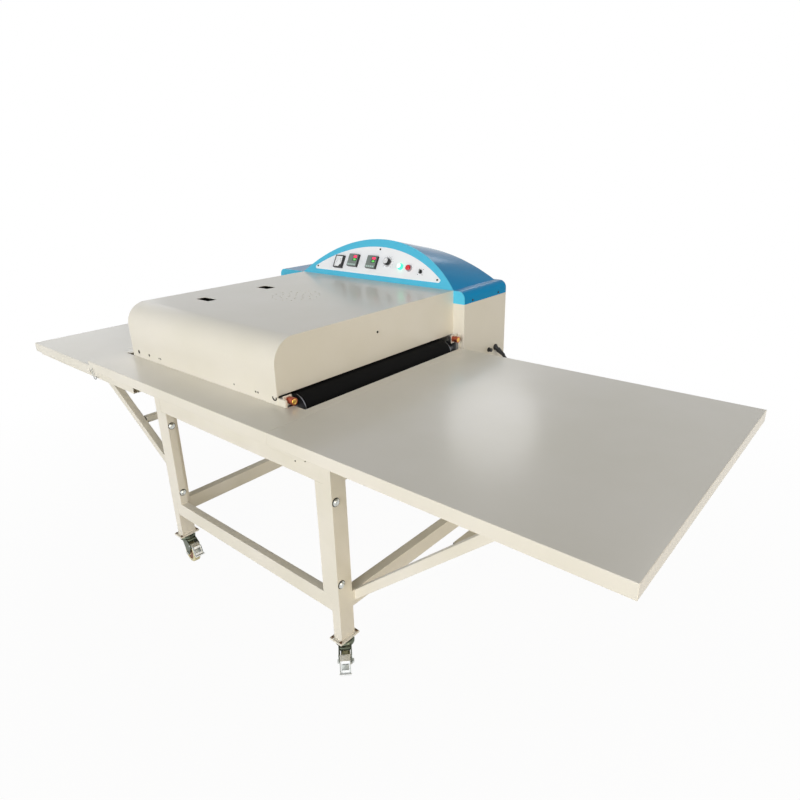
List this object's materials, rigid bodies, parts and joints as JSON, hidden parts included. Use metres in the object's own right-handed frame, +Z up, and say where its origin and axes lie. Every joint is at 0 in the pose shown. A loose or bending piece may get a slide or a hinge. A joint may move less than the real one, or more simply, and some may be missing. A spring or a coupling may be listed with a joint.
{
  "type": "belt heat press",
  "caption": "Belt fusing heat press on a castor stand, with side tables, heated belts under a flat cover and an arched control hood.",
  "frame": {"origin": "on the floor, under the middle of the press's box without its lead", "axes": "+X along the cloth's way from the infeed table to the outlet table, +Y from the operator's side to the back, +Z up"},
  "size_m": [2.394, 1.231, 1.0577],
  "materials": {
    "cream_frame": "cream powder coat, slightly grained",
    "cream_sheet": "cream powder coat with a fine grain and a soft sheen",
    "blue_sheet": "glossy light blue paint",
    "panel_white": "smooth white enamel",
    "zinc": "bright zinc plate",
    "dark_steel": "ground steel",
    "heater_alu": "milled aluminium",
    "belt_black": "non-stick coated glass cloth",
    "brass": "knurled brass",
    "bolt_dark": "dulled zinc",
    "wheel_cream": "moulded nylon with a worn tread",
    "black_plastic": "moulded black plastic",
    "grey_plastic": "moulded grey plastic",
    "knob_metal": "bright cap on a black grip",
    "green_plastic": "clear green lens",
    "red_plastic": "glossy red cap",
    "cord_black": "black rubber sheath",
    "motor_paint": "grey enamel"
  },
  "bodies": {
    "press": {"legs": "cream_frame", "front_rails": "cream_frame", "rear_rails": "cream_frame", "side_rails": "cream_frame", "frame_uprights": "cream_frame", "foot_plates": "cream_frame", "frame_bolts": "bolt_dark", "centre_table": "cream_sheet", "left_table": "cream_sheet", "right_table": "cream_sheet", "table_arms": "cream_frame", "left_braces": "cream_frame", "right_braces": "cream_frame", "brace_cross_bars": "cream_frame", "base_pan": "cream_sheet", "front_side_plate": "cream_frame", "rear_side_plate": "cream_frame", "top_cover": "cream_sheet", "lower_belt": "belt_black", "upper_belt": "belt_black", "bearing_blocks": "dark_steel", "heater_plates": "heater_alu", "gear_motor": "motor_paint", "drive_chain": "dark_steel", "control_box": "cream_sheet", "hood": "blue_sheet", "control_panel": "panel_white", "button_bezels": "zinc", "ammeter": "grey_plastic", "temperature_controllers": "grey_plastic", "sheet_screws": "zinc", "cord_gland": "black_plastic", "fuse_holder": "black_plastic", "power_cord": "cord_black", "cord_coil": "cord_black", "plug": "cord_black"},
    "castor_front_left": {"castor_fork_front_left": "zinc"},
    "wheel_front_left": {"castor_wheel_front_left": "wheel_cream"},
    "pedal_front_left": {"castor_pedal_front_left": "zinc"},
    "castor_front_right": {"castor_fork_front_right": "zinc"},
    "wheel_front_right": {"castor_wheel_front_right": "wheel_cream"},
    "pedal_front_right": {"castor_pedal_front_right": "zinc"},
    "castor_back_left": {"castor_fork_back_left": "zinc"},
    "wheel_back_left": {"castor_wheel_back_left": "wheel_cream"},
    "pedal_back_left": {"castor_pedal_back_left": "zinc"},
    "castor_back_right": {"castor_fork_back_right": "zinc"},
    "wheel_back_right": {"castor_wheel_back_right": "wheel_cream"},
    "pedal_back_right": {"castor_pedal_back_right": "zinc"},
    "lower_outlet_roller": {"lower_outlet_roller": "dark_steel"},
    "lower_infeed_roller": {"lower_infeed_roller": "dark_steel"},
    "upper_outlet_roller": {"upper_outlet_roller": "dark_steel"},
    "upper_infeed_roller": {"upper_infeed_roller": "dark_steel"},
    "pressure_roller": {"pressure_roller": "dark_steel"},
    "motor_sprocket": {"motor_sprocket": "dark_steel"},
    "front_belt_adjuster": {"front_belt_adjuster": "brass"},
    "rear_belt_adjuster": {"rear_belt_adjuster": "brass"},
    "speed_knob": {"speed_knob": "knob_metal"},
    "selector": {"selector_switch": "black_plastic"},
    "green_button": {"green_button": "green_plastic"},
    "red_button": {"red_button": "red_plastic"}
  },
  "joints": [
    {"name": "swivel_front_left", "type": "hinge", "parent": "press", "child": "castor_front_left", "pos_m": [-0.3985, -0.5195, 0.108], "axis": [0, 0, 1], "continuous": true},
    {"name": "wheel_spin_front_left", "type": "hinge", "parent": "castor_front_left", "child": "wheel_front_left", "pos_m": [-0.37264, -0.52222, 0.0375], "axis": [0.1045, 0.9945, 0], "continuous": true},
    {"name": "brake_front_left", "type": "hinge", "parent": "castor_front_left", "child": "pedal_front_left", "pos_m": [-0.35176, -0.52441, 0.075], "axis": [0.1045, 0.9945, 0], "range_deg": [0, 10]},
    {"name": "swivel_front_right", "type": "hinge", "parent": "press", "child": "castor_front_right", "pos_m": [0.4155, -0.5195, 0.108], "axis": [0, 0, 1], "continuous": true},
    {"name": "wheel_spin_front_right", "type": "hinge", "parent": "castor_front_right", "child": "wheel_front_right", "pos_m": [0.43388, -0.53788, 0.0375], "axis": [0.7071, 0.7071, 0], "continuous": true},
    {"name": "brake_front_right", "type": "hinge", "parent": "castor_front_right", "child": "pedal_front_right", "pos_m": [0.44873, -0.55273, 0.075], "axis": [0.7071, 0.7071, 0], "range_deg": [0, 10]},
    {"name": "swivel_back_left", "type": "hinge", "parent": "press", "child": "castor_back_left", "pos_m": [-0.3985, 0.2625, 0.108], "axis": [0, 0, 1], "continuous": true},
    {"name": "wheel_spin_back_left", "type": "hinge", "parent": "castor_back_left", "child": "wheel_back_left", "pos_m": [-0.40301, 0.28811, 0.0375], "axis": [-0.9848, -0.1736, 0], "continuous": true},
    {"name": "brake_back_left", "type": "hinge", "parent": "castor_back_left", "child": "pedal_back_left", "pos_m": [-0.40666, 0.30879, 0.075], "axis": [-0.9848, -0.1736, 0], "range_deg": [0, 10]},
    {"name": "swivel_back_right", "type": "hinge", "parent": "press", "child": "castor_back_right", "pos_m": [0.4155, 0.2625, 0.108], "axis": [0, 0, 1], "continuous": true},
    {"name": "wheel_spin_back_right", "type": "hinge", "parent": "castor_back_right", "child": "wheel_back_right", "pos_m": [0.42223, 0.28761, 0.0375], "axis": [-0.9659, 0.2588, 0], "continuous": true},
    {"name": "brake_back_right", "type": "hinge", "parent": "castor_back_right", "child": "pedal_back_right", "pos_m": [0.42766, 0.3079, 0.075], "axis": [-0.9659, 0.2588, 0], "range_deg": [0, 10]},
    {"name": "lower_outlet_roller_turn", "type": "hinge", "parent": "press", "child": "lower_outlet_roller", "pos_m": [0.1723, -0.08, 0.7002], "axis": [0, 1, 0], "continuous": true},
    {"name": "lower_infeed_roller_turn", "type": "hinge", "parent": "press", "child": "lower_infeed_roller", "pos_m": [-0.637, -0.08, 0.7002], "axis": [0, 1, 0], "continuous": true},
    {"name": "upper_outlet_roller_turn", "type": "hinge", "parent": "press", "child": "upper_outlet_roller", "pos_m": [0.07, -0.08, 0.7794], "axis": [0, 1, 0], "continuous": true},
    {"name": "upper_infeed_roller_turn", "type": "hinge", "parent": "press", "child": "upper_infeed_roller", "pos_m": [-0.59, -0.08, 0.7794], "axis": [0, 1, 0], "continuous": true},
    {"name": "pressure_roller_turn", "type": "hinge", "parent": "press", "child": "pressure_roller", "pos_m": [0.07, -0.08, 0.7112], "axis": [0, 1, 0], "continuous": true},
    {"name": "motor_shaft_turn", "type": "hinge", "parent": "press", "child": "motor_sprocket", "pos_m": [0.1003, 0.3455, 0.632], "axis": [0, 1, 0], "continuous": true},
    {"name": "front_belt_adjuster_turn", "type": "hinge", "parent": "press", "child": "front_belt_adjuster", "pos_m": [0.188, -0.46, 0.7396], "axis": [1, 0, 0], "range_deg": [-360, 360]},
    {"name": "rear_belt_adjuster_turn", "type": "hinge", "parent": "press", "child": "rear_belt_adjuster", "pos_m": [0.188, 0.3045, 0.7396], "axis": [1, 0, 0], "range_deg": [-360, 360]},
    {"name": "speed_knob_turn", "type": "hinge", "parent": "press", "child": "speed_knob", "pos_m": [-0.1735, 0.37126, 0.97766], "axis": [0, -0.8829, 0.4695], "range_deg": [-135, 135]},
    {"name": "selector_turn", "type": "hinge", "parent": "press", "child": "selector", "pos_m": [-0.0015, 0.35957, 0.95567], "axis": [0, -0.8829, 0.4695], "range_deg": [-45, 45]},
    {"name": "green_button_press", "type": "slide", "parent": "press", "child": "green_button", "axis": [0, 0.8829, -0.4695], "range_m": [0, 0.003], "stiffness_N_per_m": 400, "springref_m": -0.002},
    {"name": "red_button_press", "type": "slide", "parent": "press", "child": "red_button", "axis": [0, 0.8829, -0.4695], "range_m": [0, 0.003], "stiffness_N_per_m": 400, "springref_m": -0.002}
  ],
  "couplings": [
    {"joint": "lower_infeed_roller_turn", "follows": "lower_outlet_roller_turn", "ratio": 1},
    {"joint": "upper_outlet_roller_turn", "follows": "lower_outlet_roller_turn", "ratio": -1.2286},
    {"joint": "upper_infeed_roller_turn", "follows": "lower_outlet_roller_turn", "ratio": -1.2286},
    {"joint": "pressure_roller_turn", "follows": "lower_outlet_roller_turn", "ratio": 1.3667},
    {"joint": "motor_shaft_turn", "follows": "lower_outlet_roller_turn", "ratio": 1.6}
  ]
}
